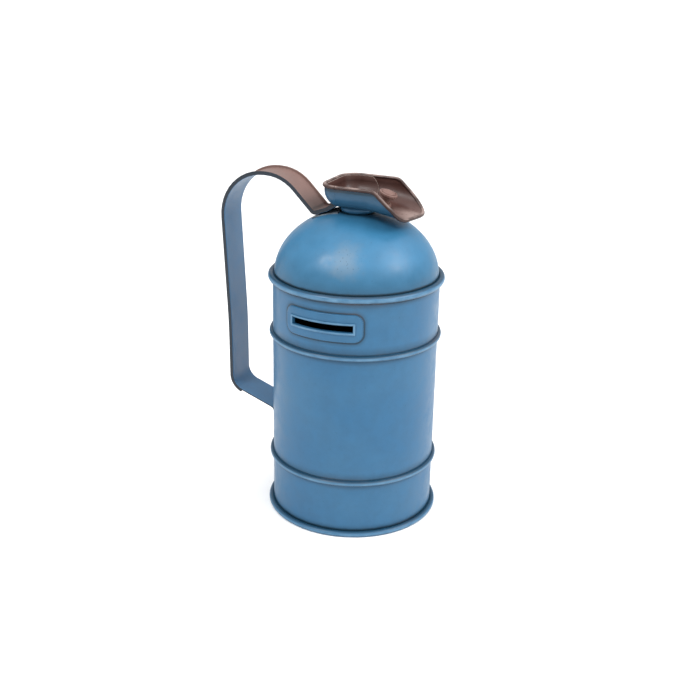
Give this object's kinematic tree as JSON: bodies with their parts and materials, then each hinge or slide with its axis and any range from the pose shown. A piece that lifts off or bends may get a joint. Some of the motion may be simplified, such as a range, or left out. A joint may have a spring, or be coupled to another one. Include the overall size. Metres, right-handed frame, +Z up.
{
  "type": "tin money box",
  "caption": "Free-standing sheet-metal money box shaped like a hooped pouring can, with a front coin slot, a strap handle and a base plug for emptying it.",
  "frame": {"origin": "centre of the base, on the plane that the rolled foot rests on", "axes": "+Z up along the can's axis, +X towards the scoop's lip, -X towards the handle, -Y towards the coin slot"},
  "size_m": [0.1181, 0.0902, 0.1765],
  "materials": {
    "blue_paint": "satin, worn",
    "brown_paint": "satin, worn",
    "strap_paint": "satin, worn",
    "bare_tin": "dull, stained",
    "plug_rubber": "matte"
  },
  "bodies": {
    "can": {"body_wall": "blue_paint", "slot_plate": "blue_paint", "foot_hoop": "blue_paint", "lower_hoop": "blue_paint", "middle_hoop": "blue_paint", "shoulder_hoop": "blue_paint", "dome": "blue_paint", "neck_collar": "blue_paint", "basin": "brown_paint", "basin_rim": "brown_paint", "pouring_lip": "brown_paint", "lip_rim": "brown_paint", "knob_seat": "brown_paint", "handle_strap": "strap_paint", "strap_saddle": "bare_tin", "base_plate": "bare_tin"},
    "plug": {"base_plug": "plug_rubber"},
    "knob": {"knob_stem": "brown_paint", "knob_head": "brown_paint"}
  },
  "joints": [
    {"name": "plug_pull", "type": "slide", "parent": "can", "child": "plug", "axis": [0, 0, -1], "range_m": [0, 0.045]},
    {"name": "knob_turn", "type": "hinge", "parent": "can", "child": "knob", "pos_m": [0.0137, 0, 0.16318], "axis": [0.309, 0, 0.9511], "continuous": true}
  ]
}
